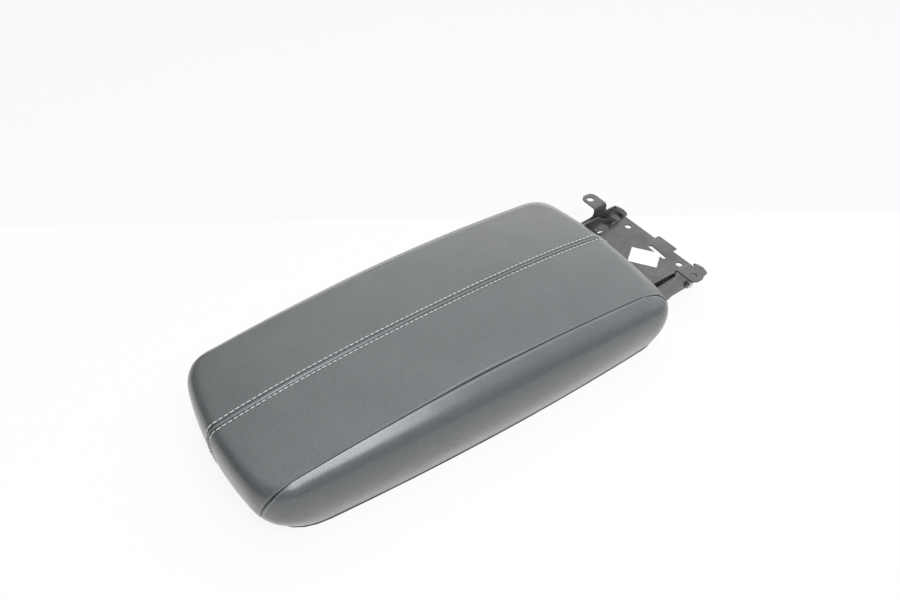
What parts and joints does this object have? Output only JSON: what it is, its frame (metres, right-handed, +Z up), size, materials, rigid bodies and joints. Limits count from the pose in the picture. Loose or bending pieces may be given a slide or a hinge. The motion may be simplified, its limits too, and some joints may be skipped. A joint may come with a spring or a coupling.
{
  "type": "car armrest",
  "caption": "Padded centre console armrest lid in stitched grey leather, hinged to a stamped steel bracket with fixing tabs, with a finger latch under its front edge.",
  "frame": {"origin": "bottom centre of the closed assembly's bounding box, on the plane of the rubber bumpers", "axes": "+Y from the latch end to the hinge end, +X across the lid, +Z up"},
  "size_m": [0.178, 0.447, 0.069],
  "materials": {
    "leather": "fine grain, satin",
    "foam": "open cell foam",
    "moulded_plastic": "fine spark texture",
    "black_steel": "electrocoated, satin",
    "zinc_steel": "zinc plated",
    "nylon": "natural nylon",
    "rubber": "matt",
    "label_film": "matt paper film, blank"
  },
  "bodies": {
    "console_bracket": {"base_plate": "black_steel", "side_plate_right": "black_steel", "side_plate_left": "black_steel", "hinge_pin": "zinc_steel", "pin_clips": "black_steel", "friction_washers": "zinc_steel", "label": "label_film"},
    "lid": {"leather_top_right": "leather", "leather_top_left": "leather", "leather_side_right": "leather", "leather_side_left": "leather", "foam_pad": "foam", "lid_substrate": "moulded_plastic", "lid_liner": "moulded_plastic", "liner_screws": "black_steel", "rubber_bumpers": "rubber", "lid_hinge_bracket": "black_steel", "hinge_screws": "zinc_steel", "pivot_bushes": "nylon", "latch_pin": "zinc_steel"},
    "latch": {"latch_lever": "moulded_plastic", "latch_spring": "zinc_steel"}
  },
  "joints": [
    {"name": "lid_hinge", "type": "hinge", "parent": "console_bracket", "child": "lid", "pos_m": [0, 0.1985, 0.008], "axis": [-1, 0, 0], "range_deg": [0, 90]},
    {"name": "latch_pivot", "type": "hinge", "parent": "lid", "child": "latch", "pos_m": [0, -0.1715, 0.012], "axis": [-1, 0, 0], "range_deg": [0, 12], "stiffness_Nm_per_rad": 0.2, "springref_deg": -5.73}
  ]
}
